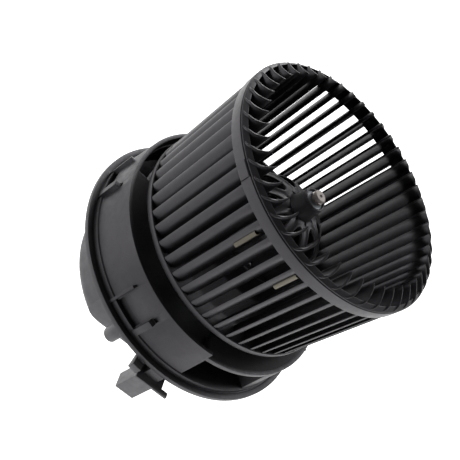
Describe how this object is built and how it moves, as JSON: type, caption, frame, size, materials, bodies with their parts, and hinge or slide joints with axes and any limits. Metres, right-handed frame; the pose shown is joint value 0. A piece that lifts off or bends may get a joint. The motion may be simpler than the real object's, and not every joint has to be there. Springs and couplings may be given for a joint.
{
  "type": "cabin heater blower",
  "caption": "Squirrel-cage blower wheel on a brushed DC motor in a round twist-lock base, for a vehicle heater box.",
  "frame": {"origin": "centre of the flange's upper seating face, on the fan axis", "axes": "+Z along the fan axis towards the wheel's open end, -Y towards the side with the connector, +X to its right"},
  "size_m": [0.1676, 0.1679, 0.1656],
  "materials": {
    "black_plastic": "semi-matte moulded plastic",
    "dark_plastic": "semi-matte moulded plastic",
    "clip_steel": "passivated spring steel",
    "bright_steel": "ground steel",
    "zinc_steel": "zinc-plated sheet steel",
    "core_steel": "varnished steel laminations",
    "copper": "enamelled copper",
    "bronze": "oiled sintered bronze",
    "brass_tin": "plain brass",
    "phenolic": "moulded phenolic",
    "ferrite": "sintered ferrite",
    "carbon": "pressed carbon",
    "natural_nylon": "natural nylon",
    "lead_insulation": "soft vinyl",
    "rubber_black": "moulded rubber"
  },
  "bodies": {
    "base": {"base_collar": "black_plastic", "rear_cover": "dark_plastic", "motor_can": "zinc_steel", "field_magnets": "ferrite", "front_bearing": "bronze", "rear_bearing": "bronze", "rear_end_plate": "zinc_steel", "brush_card": "phenolic", "brush_holders": "brass_tin", "brush_spring_left": "bright_steel", "brush_spring_right": "bright_steel", "choke_coils": "copper", "choke_cores": "ferrite", "motor_leads": "lead_insulation", "rubber_mounts": "rubber_black", "connector_housing": "dark_plastic", "terminal_pins": "brass_tin", "cover_screws": "zinc_steel", "motor_screws": "zinc_steel"},
    "rotor": {"front_ring": "black_plastic", "fan_blades": "black_plastic", "back_plate": "black_plastic", "wheel_hub": "black_plastic", "balance_clips": "clip_steel", "hub_retainer": "bright_steel", "shaft": "bright_steel", "armature_core": "core_steel", "armature_windings": "copper", "commutator_bars": "copper", "commutator_hub": "phenolic", "thrust_washers": "natural_nylon"},
    "left_brush": {"brush_left": "carbon"},
    "right_brush": {"brush_right": "carbon"}
  },
  "joints": [
    {"name": "fan_spin", "type": "hinge", "parent": "base", "child": "rotor", "pos_m": [0, 0, 0.03], "axis": [0, 0, 1], "continuous": true},
    {"name": "brush_slide_left", "type": "slide", "parent": "base", "child": "left_brush", "axis": [-1, 0, 0], "range_m": [0, 0.003], "deforming": ["brush_spring_left"]},
    {"name": "brush_slide_right", "type": "slide", "parent": "base", "child": "right_brush", "axis": [1, 0, 0], "range_m": [0, 0.003], "deforming": ["brush_spring_right"]}
  ]
}
